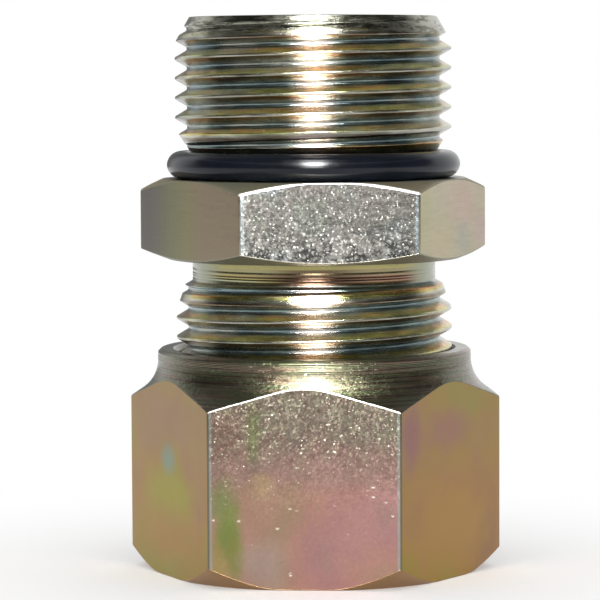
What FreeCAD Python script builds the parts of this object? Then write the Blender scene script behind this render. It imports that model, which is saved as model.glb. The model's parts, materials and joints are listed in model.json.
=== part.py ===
import FreeCAD, Part
import math
import os

# A straight stud coupling for steel tube, in millimetres.
# The tube enters through the nut, passes the cutting ring and stops in the body.
# Z runs up the fitting, and zero is the middle of the nut's lower face.

V = FreeCAD.Vector
ORIGIN = V(0, 0, 0)
UP = V(0, 0, 1)

# Tube, 7/8 inch across
tube_r = 11.11
tube_clearance = 0.09

# Cutting ring
ring_length = 10.95
ring_wall = 1.75
ring_nose_wall = 0.66
ring_back_chamfer = 1.05
ring_shoulder_length = 1.0
ring_nose_standout = 0.2
ring_groove_depth = 0.3
ring_groove_width = 2.2
ring_groove_from_top = 1.75

# Seats between ring, nut and body, hand tight
ring_seat_deg = 45
cone_deg = 12
seat_clearance = 0.14
nose_clearance = 0.12
shoulder_overlap = 0.3

# Thread, right hand, twelve turns to the inch, the same on both studs
thread_pitch = 2.1167
thread_depth_share = 17 / 24
crest_flat_share = 1 / 8
flank_deg = 30
thread_crest_clearance = 0.15
thread_flank_clearance = 0.12
cutter_overrun = 0.08

# Body
stud_wall = 1.03
tube_stud_length = 21.06
tube_stud_face_step = 0.2
tube_stud_lead_deg = 45
tube_thread_first_crest = 0.85
socket_length = 5.48
stop_width = 2.1
neck_undercut = 0.5
neck_length = 2.4
neck_shoulder_step = 0.3
neck_shoulder_deg = 60
thread_runout_deg = 20
body_hex_height = 8.63
body_hex_turn_deg = 5.7
body_lower_margin = 0.85
body_lower_chamfer_deg = 21
body_upper_margin = 0.1
body_upper_chamfer_deg = 25
seal_face_margin = 0.42
port_stud_length = 17.43
port_relief_undercut = 0.75
port_relief_short = 0.72
port_relief_slope_deg = 32.6
port_face_step = 0.3
port_lead_deg = 30
port_thread_first_crest = 1.3
port_bore_chamfer = 0.8

# Sealing ring under the port stud
o_ring_section_r = 1.475
o_ring_clearance = 0.03

# Nut
nut_floor = 4.0
nut_hole_chamfer = 0.5
nut_bore_clearance = 0.25
nut_relief_clearance = 0.4
nut_relief_height = 2.2
nut_relief_below_stud = 1.6
nut_hex_height = 18.6
nut_hex_turn_deg = -3.9
nut_face_margin = 0.3
nut_face_chamfer_deg = 42.5
nut_shoulder_deg = 34
nut_shoulder_fillet = 4.0
nut_flat_step = 0.45
collar_wall = 1.64
collar_length = 1.12
collar_edge = 0.35

# Turned blanks reach past the hexagon's corners, by this share of the flats' radius
blank_share = 1.3

# Heights closer than this count as the same
height_tolerance = 0.01

# Each later value is worked out from the sizes above.


def tangent(degrees):
    return math.tan(math.radians(degrees))


def corner_radius(flat_r):
    """Distance of a hexagon's corners from its middle."""
    return flat_r / math.cos(math.pi / 6)


# Radii, from the tube outwards
tube_bore_r = tube_r + tube_clearance
ring_r = tube_bore_r + ring_wall
ring_nose_r = tube_bore_r + ring_nose_wall
cone_mouth_r = ring_r - shoulder_overlap
flow_r = tube_bore_r - stop_width
thread_root_r = cone_mouth_r + stud_wall
sharp_height = thread_pitch / 2 / tangent(flank_deg)
thread_depth = sharp_height * thread_depth_share
thread_major_r = thread_root_r + thread_depth
crest_flat = thread_pitch * crest_flat_share
neck_r = thread_root_r - neck_undercut
port_relief_r = thread_root_r - port_relief_undercut
o_ring_middle_r = port_relief_r + o_ring_clearance + o_ring_section_r
body_flat_r = o_ring_middle_r + o_ring_section_r + seal_face_margin
nut_bore_r = ring_r + nut_bore_clearance
nut_minor_r = thread_root_r + thread_crest_clearance
nut_root_r = thread_major_r + thread_crest_clearance
nut_relief_r = thread_major_r + nut_relief_clearance
collar_r = nut_relief_r + collar_wall
nut_flat_r = collar_r + nut_flat_step

# Heights, from the nut's floor upwards
seat_gap = seat_clearance / math.cos(math.radians(ring_seat_deg))
ring_back_r = ring_r - ring_back_chamfer
ring_bottom = nut_floor + (ring_back_r - tube_bore_r) * tangent(ring_seat_deg) + seat_gap
ring_top = ring_bottom + ring_length
nose_depth = (cone_mouth_r - ring_nose_r - nose_clearance) / tangent(cone_deg)
body_end = ring_top - nose_depth
body_hex_bottom = body_end + tube_stud_length
body_hex_top = body_hex_bottom + body_hex_height
body_top = body_hex_top + port_stud_length
nut_relief_top = body_end - nut_relief_below_stud
tube_crest_height = body_end + tube_thread_first_crest
port_crest_height = body_hex_top + port_thread_first_crest


def turned(points):
    """Solid turned from a closed outline of (radius, height) points."""
    outline = Part.makePolygon([V(r, 0, z) for r, z in points + points[:1]])
    return Part.Face(outline).revolve(ORIGIN, UP, 360)


def hexagon(flat_r, turn_deg, height):
    """Six-sided bar from zero to a height, with a flat to the front before it turns."""
    corner_r = corner_radius(flat_r)
    angles = [math.radians(turn_deg + 60 * n) for n in range(7)]
    corners = [V(corner_r * math.cos(a), corner_r * math.sin(a), 0) for a in angles]
    return Part.Face(Part.makePolygon(corners)).extrude(UP * height)


def ridge_half(radius):
    """Half the thickness of a stud's thread ridge at a radius."""
    return crest_flat / 2 + (thread_major_r - radius) * tangent(flank_deg)


def helical_solid(section, middle_height, bottom, top):
    """Solid that carries a (radius, height) section up the thread's helix.

    The section's middle crosses the +X side at middle_height. The solid starts
    with its middle at the height bottom and ends with it at the height top.
    """
    count = math.ceil((top - bottom) / thread_pitch)
    rise = (top - bottom) / count
    faces = []
    for n in range(count):
        start = bottom + n * rise
        turn = 360 * (start - middle_height) / thread_pitch
        edges = []
        for radius, offset in section:
            helix = Part.makeHelix(thread_pitch, rise, radius)
            helix.rotate(ORIGIN, UP, turn)
            helix.translate(UP * (start + offset))
            edges.append(helix.Edges[0])
        for edge, neighbour in zip(edges, edges[1:] + edges[:1]):
            faces.append(Part.makeRuledSurface(edge, neighbour))
    for end in (bottom, top):
        corners = [V(radius, 0, end + offset) for radius, offset in section]
        cap = Part.Face(Part.makePolygon(corners + corners[:1]))
        cap.rotate(ORIGIN, UP, 360 * (end - middle_height) / thread_pitch)
        faces.append(cap)
    shell = Part.makeShell(faces)
    shell.sewShape()
    solid = Part.makeSolid(shell)
    if solid.Volume < 0:
        solid.reverse()
    return solid


def stud_groove(crest_height, bottom, top):
    """Space between the ridges of an outside thread."""
    section = []
    for radius, side in (
        (thread_root_r, -1),
        (thread_major_r + cutter_overrun, -1),
        (thread_major_r + cutter_overrun, 1),
        (thread_root_r, 1),
    ):
        section.append((radius, side * (thread_pitch / 2 - ridge_half(radius))))
    return helical_solid(section, crest_height + thread_pitch / 2, bottom, top)


def nut_groove(crest_height, bottom, top):
    """Space in the nut for the ridge of the stud's thread, with running clearance."""
    section = []
    for radius, side in (
        (nut_minor_r - cutter_overrun, -1),
        (nut_root_r, -1),
        (nut_root_r, 1),
        (nut_minor_r - cutter_overrun, 1),
    ):
        section.append((radius, side * (ridge_half(radius) + thread_flank_clearance)))
    return helical_solid(section, crest_height, bottom, top)


def make_body():
    """Hexagon with a tube stud below and a port stud above, bored through."""
    clear_r = body_flat_r * blank_share
    lower_face_r = thread_major_r + body_lower_margin
    upper_face_r = body_flat_r + body_upper_margin
    tube_face_r = thread_root_r + tube_stud_face_step
    tube_lead = (thread_major_r - tube_face_r) / tangent(tube_stud_lead_deg)
    neck_bottom = body_hex_bottom - neck_length
    shoulder_r = thread_root_r + neck_shoulder_step
    shoulder_bottom = neck_bottom - (shoulder_r - neck_r) / tangent(neck_shoulder_deg)
    runout = (thread_major_r - shoulder_r) / tangent(thread_runout_deg)
    relief_top = body_hex_top + 2 * o_ring_section_r - port_relief_short
    relief_slope = (thread_major_r - port_relief_r) / tangent(port_relief_slope_deg)
    port_face_r = thread_root_r - port_face_step
    port_lead = (thread_major_r - port_face_r) / tangent(port_lead_deg)
    cone_height = (cone_mouth_r - tube_bore_r) / tangent(cone_deg)
    tube_stop = body_end + cone_height + socket_length
    blank = turned([
        (cone_mouth_r, body_end),
        (tube_face_r, body_end),
        (thread_major_r, body_end + tube_lead),
        (thread_major_r, shoulder_bottom - runout),
        (shoulder_r, shoulder_bottom),
        (neck_r, neck_bottom),
        (neck_r, body_hex_bottom),
        (lower_face_r, body_hex_bottom),
        (clear_r, body_hex_bottom + (clear_r - lower_face_r) * tangent(body_lower_chamfer_deg)),
        (clear_r, body_hex_top - (clear_r - upper_face_r) * tangent(body_upper_chamfer_deg)),
        (upper_face_r, body_hex_top),
        (port_relief_r, body_hex_top),
        (port_relief_r, relief_top),
        (thread_major_r, relief_top + relief_slope),
        (thread_major_r, body_top - port_lead),
        (port_face_r, body_top),
        (flow_r + port_bore_chamfer, body_top),
        (flow_r, body_top - port_bore_chamfer),
        (flow_r, tube_stop),
        (tube_bore_r, tube_stop),
        (tube_bore_r, body_end + cone_height),
    ])
    body = blank.common(hexagon(body_flat_r, body_hex_turn_deg, body_top))
    neck_middle = body_hex_bottom - neck_length / 2
    relief_middle = (body_hex_top + relief_top) / 2
    body = body.cut(stud_groove(tube_crest_height, body_end - thread_pitch, neck_middle))
    return body.cut(stud_groove(port_crest_height, relief_middle, body_top + thread_pitch))


def make_nut():
    """Hexagon nut with a turned collar, a seat for the ring and the stud's thread."""
    clear_r = nut_flat_r * blank_share
    corner_r = corner_radius(nut_flat_r)
    face_r = nut_flat_r + nut_face_margin
    shoulder_slope = tangent(nut_shoulder_deg)
    shoulder_top = nut_hex_height + (corner_r - collar_r) * shoulder_slope
    fillet_rise = nut_shoulder_fillet * tangent((90 - nut_shoulder_deg) / 2)
    nut_top = shoulder_top + fillet_rise + collar_length
    relief_bottom = nut_relief_top - nut_relief_height
    countersink = nut_relief_r - nut_minor_r
    blank = turned([
        (tube_bore_r + nut_hole_chamfer, 0),
        (face_r, 0),
        (clear_r, (clear_r - face_r) * tangent(nut_face_chamfer_deg)),
        (clear_r, nut_hex_height - (clear_r - corner_r) * shoulder_slope),
        (collar_r, shoulder_top),
        (collar_r, nut_top - collar_edge),
        (collar_r - collar_edge, nut_top),
        (nut_relief_r, nut_top),
        (nut_minor_r, nut_top - countersink),
        (nut_minor_r, nut_relief_top),
        (nut_relief_r, nut_relief_top),
        (nut_relief_r, relief_bottom),
        (nut_bore_r, relief_bottom),
        (nut_bore_r, nut_floor + (nut_bore_r - tube_bore_r) * tangent(ring_seat_deg)),
        (tube_bore_r, nut_floor),
        (tube_bore_r, nut_hole_chamfer),
    ])
    inner_corner = [
        edge for edge in blank.Edges
        if edge.BoundBox.ZLength < height_tolerance
        and abs(edge.BoundBox.ZMin - shoulder_top) < height_tolerance
    ]
    blank = blank.makeFillet(nut_shoulder_fillet, inner_corner)
    nut = blank.common(hexagon(nut_flat_r, nut_hex_turn_deg, nut_top))
    relief_middle = nut_relief_top - nut_relief_height / 2
    return nut.cut(nut_groove(tube_crest_height, relief_middle, nut_top + thread_pitch))


def make_cutting_ring():
    """Ring that the nut drives up the body's cone until it bites the tube."""
    nose_length = nose_depth + ring_nose_standout
    nose_base_r = ring_nose_r + nose_length * tangent(cone_deg)
    groove_top = ring_top - ring_groove_from_top
    groove_bottom = groove_top - ring_groove_width
    groove_r = tube_bore_r + ring_groove_depth
    return turned([
        (tube_bore_r, ring_bottom),
        (ring_back_r, ring_bottom),
        (ring_r, ring_bottom + ring_back_chamfer * tangent(ring_seat_deg)),
        (ring_r, ring_top - nose_length - ring_shoulder_length),
        (nose_base_r, ring_top - nose_length),
        (ring_nose_r, ring_top),
        (tube_bore_r, ring_top),
        (tube_bore_r, groove_top),
        (groove_r, groove_top - ring_groove_depth),
        (groove_r, groove_bottom),
        (tube_bore_r, groove_bottom),
    ])


def make_o_ring():
    """Rubber ring in the relief between the hexagon's upper face and the thread."""
    middle = V(0, 0, body_hex_top + o_ring_clearance + o_ring_section_r)
    return Part.makeTorus(o_ring_middle_r, o_ring_section_r, middle, UP)


pieces = {
    "body": make_body(),
    "nut": make_nut(),
    "cutting_ring": make_cutting_ring(),
    "o_ring": make_o_ring(),
}

os.makedirs("parts", exist_ok=True)
for name, piece in pieces.items():
    piece.exportStep(f"parts/{name}.step")
    print(name, "solids", len(piece.Solids), "valid", piece.isValid(), "volume", round(piece.Volume, 1))
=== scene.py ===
import json
import math
import bpy
import bmesh
import numpy as np
from mathutils import Matrix, Vector

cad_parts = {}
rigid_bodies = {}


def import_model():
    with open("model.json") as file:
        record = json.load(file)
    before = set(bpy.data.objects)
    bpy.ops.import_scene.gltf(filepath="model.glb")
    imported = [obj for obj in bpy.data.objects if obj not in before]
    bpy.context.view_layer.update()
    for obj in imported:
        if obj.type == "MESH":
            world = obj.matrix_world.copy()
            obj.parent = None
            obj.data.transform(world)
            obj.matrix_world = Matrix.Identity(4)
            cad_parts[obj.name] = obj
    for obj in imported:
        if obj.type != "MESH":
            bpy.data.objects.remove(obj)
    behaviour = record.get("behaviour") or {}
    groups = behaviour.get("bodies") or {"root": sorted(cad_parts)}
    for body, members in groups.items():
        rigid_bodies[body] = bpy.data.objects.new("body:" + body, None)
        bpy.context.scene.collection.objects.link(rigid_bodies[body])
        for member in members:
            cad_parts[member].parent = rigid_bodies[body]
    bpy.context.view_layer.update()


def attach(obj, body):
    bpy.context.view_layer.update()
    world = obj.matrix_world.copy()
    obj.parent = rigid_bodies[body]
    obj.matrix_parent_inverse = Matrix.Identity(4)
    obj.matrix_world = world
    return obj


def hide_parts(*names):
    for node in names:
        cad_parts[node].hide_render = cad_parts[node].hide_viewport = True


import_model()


def slope(degrees):
    return math.tan(math.radians(degrees))


# Sizes in millimetres, the same as in the part's source. Z runs up from the nut's lower face.
MM = 0.001
PITCH = 2.1167
THREAD_MAJOR_R = 14.9785
THREAD_ROOT_R = 13.68
FLANK = slope(30)
CREST_HALF = 0.1323
TUBE_CREST_Z = 13.5459
PORT_CREST_Z = 43.6859
PORT_END_R = 13.38
PORT_LEAD_DEG = 30
TUBE_END_R = 13.88
TUBE_LEAD_LENGTH = 1.0985
RUNOUT_Z = 28.1506
RUNOUT_R = 13.98
SHOULDER_Z = 30.894
NECK_Z = 31.3559
NECK_R = 13.18

BODY_END_Z = 12.6959
HEX_BOTTOM_Z = 33.7559
HEX_TOP_Z = 42.3859
BODY_TOP_Z = 59.8159
TUBE_STOP_Z = 24.9976
BORE_R = 11.2
FLOW_R = 9.1
CONE_MOUTH_R = 12.65
CONE_TOP_Z = 19.5176
RELIEF_R = 12.93
RELIEF_TOP_Z = 44.6159
RELIEF_SLOPE = slope(32.6)
BODY_FLAT_R = 16.33
BODY_TURN_DEG = 5.7
LOWER_FACE_R = 15.8285
LOWER_CHAMFER_DEG = 21
UPPER_FACE_R = 16.43
UPPER_CHAMFER_DEG = 25

O_RING_R = 14.435
O_RING_SECTION_R = 1.475
O_RING_Z = 43.8909

NUT_FLAT_R = 17.4685
NUT_TURN_DEG = -3.9
NUT_FACE_R = 17.7685
NUT_CHAMFER_DEG = 42.5
NUT_CONE_Z = 18.6
NUT_CONE_DEG = 34
NUT_FILLET_R = 4.0
NUT_TOP_Z = 23.9732
NUT_RELIEF_TOP_Z = 11.0959
NUT_RELIEF_BOTTOM_Z = 8.8959
NUT_RELIEF_R = 15.3785
NUT_MINOR_R = 13.83
NUT_ROOT_R = 15.1285
NUT_CLEARANCE = 0.12
NUT_MOUTH_CHAMFER = 0.5
SEAT_BOTTOM_Z = 4.0
SEAT_TOP_Z = 6.0
SEAT_R = 13.2
COLLAR_R = 17.0185
COLLAR_CHAMFER = 0.35

RING_BOTTOM_Z = 4.898
RING_TOP_Z = 15.848
RING_BACK_R = 11.9
RING_BACK_LENGTH = 1.05
RING_OUTER_R = 12.95
RING_NOSE_R = 11.86
RING_NOSE_LENGTH = 3.3521
RING_NOSE_DEG = 12
RING_STEP_LENGTH = 1.0
RING_LIP_LENGTH = 1.75
RING_GROOVE_WIDTH = 2.2
RING_GROOVE_DEPTH = 0.3

# How the meshes are made: the rounding of the hexagons' corners, columns for each side of a
# hexagon, rows of a turn of thread by their distance from the crest, and turned grooves by place
# and depth. A groove's place on the neck is its height, on the collar its share of the height.
CORNER_ROUND = 0.35
COLUMNS_PER_SIDE = 24
SAME_POINT = 0.002
FLASH_HEIGHT = 0.02
STUD_MARKS = [0, 0.07, 0.12, 0.165, 0.21, 0.3, 0.4, 0.5, 0.6, 0.7, 0.782, 0.837, 0.902, 0.972,
              PITCH / 2]
NUT_MARKS = [0, 0.1657, 0.35, 0.53, 0.71, 0.9154, PITCH / 2]
NECK_GROOVES = [(31.72, 0.05), (32.02, 0.03), (32.3, 0.045), (32.75, 0.02)]
COLLAR_GROOVES = [(0.1, 0.04), (0.3, 0.03), (0.5, 0.05), (0.72, 0.03)]


def link(name, data):
    """New object in the scene."""
    thing = bpy.data.objects.new(name, data)
    bpy.context.scene.collection.objects.link(thing)
    return thing


def corner_arc(flat_r):
    """Where a hexagon's corner rounding is centred, and how far round the axis it reaches."""
    middle = (flat_r - CORNER_ROUND) / math.cos(math.pi / 6)
    reach = math.atan2(CORNER_ROUND / 2, middle + CORNER_ROUND * math.cos(math.pi / 6))
    return middle, reach


def column_angles(flat_r, turn_deg):
    """Angles of a mesh's columns, close together round each corner of its hexagon."""
    _, reach = corner_arc(flat_r)
    near = [reach * share for share in (-1, -0.5, 0, 0.5)]
    far = np.linspace(reach, math.pi / 3 - reach, COLUMNS_PER_SIDE, endpoint=False)
    side = np.concatenate([near, far])
    return np.concatenate([math.radians(turn_deg + 60 * n) + side for n in range(6)])


def hexagon_r(flat_r, turn_deg, angles):
    """Distance from the axis to a hexagon with rounded corners, at each angle."""
    sixth = math.pi / 3
    away = np.abs((angles - math.radians(turn_deg) + sixth / 2) % sixth - sixth / 2)
    middle, reach = corner_arc(flat_r)
    under = np.maximum(CORNER_ROUND ** 2 - (middle * np.sin(away)) ** 2, 0)
    curve = middle * np.cos(away) + np.sqrt(under)
    return np.where(away < reach, curve, flat_r / np.cos(sixth / 2 - away))


class Shell:
    """Collects grids of points round the axis and joins them into one closed mesh."""

    def __init__(self, angles):
        self.angles = angles
        self.points = []
        self.faces = []
        self.count = 0

    def add_points(self, radius, height):
        radius, height = np.broadcast_arrays(radius, height)
        x = radius * np.cos(self.angles)
        y = radius * np.sin(self.angles)
        self.points.append(np.stack([x, y, height], axis=-1).reshape(-1, 3))
        first = self.count
        self.count += radius.size
        return first

    def add_faces(self, first, rows, shift):
        """Quads between neighbouring rows and columns. The last column meets the
        first one, shift rows further on."""
        columns = len(self.angles)
        for c in range(columns):
            after = (c + 1) % columns
            step = shift if after == 0 else 0
            for k in range(rows - 1 - step):
                a = first + k * columns + c
                b = first + (k + step) * columns + after
                self.faces.append((a, b, b + columns, a + columns))

    def outline(self, corners):
        """Grid along an outline of (radius, height, edge radius) corners."""
        points = []
        for radius, height, edge in corners:
            spot = np.zeros((len(self.angles), 2))
            spot[:, 0] = radius
            spot[:, 1] = height
            points.append((spot, edge))
        rows = [points[0][0]]
        for (before, _), (here, edge), (after, _) in zip(points, points[1:], points[2:]):
            if not edge:
                rows.append(here)
                continue
            back = before - here
            ahead = after - here
            back_length = np.maximum(np.linalg.norm(back, axis=1, keepdims=True), 1e-6)
            ahead_length = np.maximum(np.linalg.norm(ahead, axis=1, keepdims=True), 1e-6)
            back = back / back_length
            ahead = ahead / ahead_length
            cosine = np.sum(back * ahead, axis=1, keepdims=True)
            half = np.sqrt(np.maximum((1 + cosine) / np.maximum(1 - cosine, 1e-6), 0))
            reach = np.minimum(edge * half, 0.45 * np.minimum(back_length, ahead_length))
            start = here + back * reach
            end = here + ahead * reach
            for t in (0, 0.25, 0.5, 0.75, 1):
                rows.append(start * (1 - t) ** 2 + here * 2 * t * (1 - t) + end * t ** 2)
        rows.append(points[-1][0])
        grid = np.stack(rows)
        first = self.add_points(grid[:, :, 0], grid[:, :, 1])
        self.add_faces(first, len(rows), 0)

    def thread(self, bottom, top, crest_z, offsets, radius_at):
        """Grid whose rows climb with the thread, cut off level at both ends."""
        lift = PITCH * self.angles / (2 * math.pi)
        start = math.floor((bottom - crest_z - lift[-1]) / PITCH) - 1
        count = math.ceil((top - bottom) / PITCH) + 4
        rows = []
        for turn in range(count):
            for offset in offsets:
                rows.append(crest_z + (start + turn) * PITCH + offset + lift)
        height = np.clip(np.stack(rows), bottom, top)
        first = self.add_points(radius_at(self.angles, height), height)
        self.add_faces(first, len(rows), len(offsets))

    def make(self, name, wobble=None):
        """One mesh object from all the grids, with meeting points joined."""
        points = np.concatenate(self.points)
        keys = np.round(points / SAME_POINT).astype(np.int64)
        _, chosen, place = np.unique(keys, axis=0, return_index=True, return_inverse=True)
        place = place.reshape(-1)
        faces = []
        for face in self.faces:
            ring = []
            for index in face:
                if not ring or place[index] != ring[-1]:
                    ring.append(int(place[index]))
            if len(ring) > 1 and ring[0] == ring[-1]:
                ring.pop()
            if len(set(ring)) == len(ring) > 2:
                faces.append(ring)
        kept = points[chosen]
        if wobble is not None:
            kept = wobble(kept)
        mesh = bpy.data.meshes.new(name)
        mesh.from_pydata((kept * MM).tolist(), [], faces)
        work = bmesh.new()
        work.from_mesh(mesh)
        loose = [v for v in work.verts if not v.link_faces]
        bmesh.ops.delete(work, geom=loose, context="VERTS")
        bmesh.ops.recalc_face_normals(work, faces=work.faces)
        work.to_mesh(mesh)
        work.free()
        mesh.polygons.foreach_set("use_smooth", [True] * len(mesh.polygons))
        piece = link(name, mesh)
        weighted = piece.modifiers.new("even shading", "WEIGHTED_NORMAL")
        weighted.weight = 50
        return piece


def crest_distance(angles, height, crest_z):
    """Distance along the axis to the thread's nearest crest."""
    along = height - PITCH * angles / (2 * math.pi) - crest_z
    return np.abs((along + PITCH / 2) % PITCH - PITCH / 2)


def thread_r(crest_z, envelope):
    """Radius of a stud's thread at angles and heights, kept under an envelope."""
    heights, radii = zip(*envelope)
    root_half = CREST_HALF + (THREAD_MAJOR_R - THREAD_ROOT_R) * FLANK
    marks = [0, 0.07, 0.12, 0.165, 0.21, root_half - 0.1, root_half - 0.045, root_half + 0.02,
             root_half + 0.09, PITCH / 2]
    flank = [THREAD_MAJOR_R - (m - CREST_HALF) / FLANK for m in marks]
    values = [THREAD_MAJOR_R, THREAD_MAJOR_R - 0.004, THREAD_MAJOR_R - 0.018, flank[3] - 0.012,
              flank[4], flank[5], flank[6] + 0.008, THREAD_ROOT_R + 0.018, THREAD_ROOT_R + 0.002,
              THREAD_ROOT_R]

    def radius(angles, height):
        ridge = np.interp(crest_distance(angles, height, crest_z), marks, values)
        return np.minimum(ridge, np.interp(height, heights, radii))

    return radius


def nut_thread_r(height_top):
    """Radius of the nut's own thread, opened out by the countersink at its mouth."""
    root_half = CREST_HALF - (NUT_ROOT_R - THREAD_MAJOR_R) * FLANK + NUT_CLEARANCE
    minor_half = CREST_HALF + (THREAD_MAJOR_R - NUT_MINOR_R) * FLANK + NUT_CLEARANCE
    marks = [0, root_half, minor_half, PITCH / 2]
    values = [NUT_ROOT_R, NUT_ROOT_R, NUT_MINOR_R, NUT_MINOR_R]

    def radius(angles, height):
        groove = np.interp(crest_distance(angles, height, TUBE_CREST_Z), marks, values)
        return np.maximum(groove, NUT_RELIEF_R - (height_top - height))

    return radius


def both_ways(marks):
    """Row offsets over one turn, from a list of distances to the crest's middle."""
    return [-m for m in reversed(marks) if m] + list(marks)[:-1]


def noise(points, scale, seed):
    """Smooth unevenness between -1 and 1 from a few crossed waves."""
    rng = np.random.default_rng(seed)
    total = np.zeros(len(points))
    for _ in range(6):
        way = rng.normal(size=3)
        way /= np.linalg.norm(way)
        length = scale * rng.uniform(0.7, 1.5)
        total += np.sin(points @ way * 2 * math.pi / length + rng.uniform(0, 6.28))
    return total / 6


def pushed(points, amount):
    """Points moved away from the axis by an amount."""
    radius = np.hypot(points[:, 0], points[:, 1])
    share = (1 + amount / radius)[:, None]
    moved = points.copy()
    moved[:, :2] *= share
    return moved


def make_body():
    angles = column_angles(BODY_FLAT_R, BODY_TURN_DEG)
    shell = Shell(angles)
    side = hexagon_r(BODY_FLAT_R, BODY_TURN_DEG, angles)

    lead_top = BODY_END_Z + TUBE_LEAD_LENGTH
    neck_join_z = NECK_Z - 0.185
    tube_r = thread_r(TUBE_CREST_Z, [
        (BODY_END_Z, TUBE_END_R), (lead_top, THREAD_MAJOR_R), (RUNOUT_Z, THREAD_MAJOR_R),
        (SHOULDER_Z, RUNOUT_R), (NECK_Z, NECK_R),
    ])
    offsets = both_ways(STUD_MARKS)
    cuts = [BODY_END_Z, lead_top, RUNOUT_Z, SHOULDER_Z, neck_join_z]
    for low, high in zip(cuts, cuts[1:]):
        shell.thread(low, high, TUBE_CREST_Z, offsets, tube_r)

    relief_join_z = RELIEF_TOP_Z + 0.5
    slope_top = RELIEF_TOP_Z + (THREAD_MAJOR_R - RELIEF_R) / RELIEF_SLOPE
    lead_bottom = BODY_TOP_Z - (THREAD_MAJOR_R - PORT_END_R) / slope(PORT_LEAD_DEG)
    top_join_z = BODY_TOP_Z - 0.3
    port_r = thread_r(PORT_CREST_Z, [
        (RELIEF_TOP_Z, RELIEF_R), (slope_top, THREAD_MAJOR_R), (lead_bottom, THREAD_MAJOR_R),
        (BODY_TOP_Z, PORT_END_R),
    ])
    cuts = [relief_join_z, slope_top, lead_bottom, top_join_z]
    for low, high in zip(cuts, cuts[1:]):
        shell.thread(low, high, PORT_CREST_Z, offsets, port_r)

    def join(radius_at, z):
        """Outline corner that meets a thread's last row exactly."""
        return (radius_at(angles, np.full(len(angles), z)), z, 0)

    lower_z = HEX_BOTTOM_Z + np.maximum(side - LOWER_FACE_R, 0) * slope(LOWER_CHAMFER_DEG)
    upper_z = HEX_TOP_Z - np.maximum(side - UPPER_FACE_R, 0) * slope(UPPER_CHAMFER_DEG)
    neck = [(NECK_R, NECK_Z, 0.3)]
    for z, depth in NECK_GROOVES:
        neck += [(NECK_R, z, 0), (NECK_R - depth, z + 0.04, 0), (NECK_R, z + 0.1, 0)]
    shell.outline(
        [join(tube_r, neck_join_z)] + neck + [
            (NECK_R, HEX_BOTTOM_Z, 0.25),
            (LOWER_FACE_R, HEX_BOTTOM_Z, 0.2),
            (side, lower_z, 0.18),
            (side, lower_z * 0.7 + upper_z * 0.3, 0),
            (side, lower_z * 0.35 + upper_z * 0.65, 0),
            (side, upper_z, 0.4),
            (np.minimum(side - 0.35, UPPER_FACE_R), HEX_TOP_Z, 0),
            (RELIEF_R, HEX_TOP_Z, 0.2),
            (RELIEF_R, RELIEF_TOP_Z, 0.3),
            join(port_r, relief_join_z),
        ]
    )
    shell.outline([
        join(port_r, top_join_z),
        (PORT_END_R, BODY_TOP_Z, 0.14),
        (FLOW_R + 0.8, BODY_TOP_Z, 0.15),
        (FLOW_R, BODY_TOP_Z - 0.8, 0.3),
        (FLOW_R, TUBE_STOP_Z, 0.15),
        (BORE_R, TUBE_STOP_Z, 0.2),
        (BORE_R, CONE_TOP_Z, 0.5),
        (CONE_MOUTH_R, BODY_END_Z, 0.12),
        join(tube_r, BODY_END_Z),
    ])

    def wobble(points):
        """Threads aren't quite even: their crests rise and fall a little."""
        radius = np.hypot(points[:, 0], points[:, 1])
        height = points[:, 2]
        threaded = (height < 31) | (height > 45.5)
        share = np.clip((radius - 14.2) / 0.6, 0, 1) * threaded * (height > 14)
        bend = noise(points * [1, 1, 2.5], 9, 5) * 0.6 + noise(points * [1, 1, 2], 2.2, 6) * 0.4
        return pushed(points, share * (bend * 0.03 - 0.012))

    return shell.make("dressed_body", wobble)


def shoulder_rows(side, count):
    """Nut's cone and fillet above each column's flat, from the flat to the collar."""
    cone_slope = slope(NUT_CONE_DEG)
    corner_r = NUT_FLAT_R / math.cos(math.pi / 6)
    past = 0.3
    meeting_z = NUT_CONE_Z + (corner_r - COLLAR_R) * cone_slope
    middle_r = COLLAR_R + NUT_FILLET_R
    middle_z = meeting_z + NUT_FILLET_R * slope((90 - NUT_CONE_DEG) / 2)
    turn = np.radians(np.linspace(270 - NUT_CONE_DEG, 180, 60))
    radii = np.concatenate([[corner_r + past], middle_r + NUT_FILLET_R * np.cos(turn)])
    heights = np.concatenate([[NUT_CONE_Z - past * cone_slope],
                              middle_z + NUT_FILLET_R * np.sin(turn)])
    length = np.concatenate([[0], np.cumsum(np.hypot(np.diff(radii), np.diff(heights)))])
    start = np.interp(-side, -radii, length)
    rows = []
    for share in np.linspace(0, 1, count):
        along = start + (length[-1] - start) * share
        rows.append((np.interp(along, length, radii), np.interp(along, length, heights)))
    return rows


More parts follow.
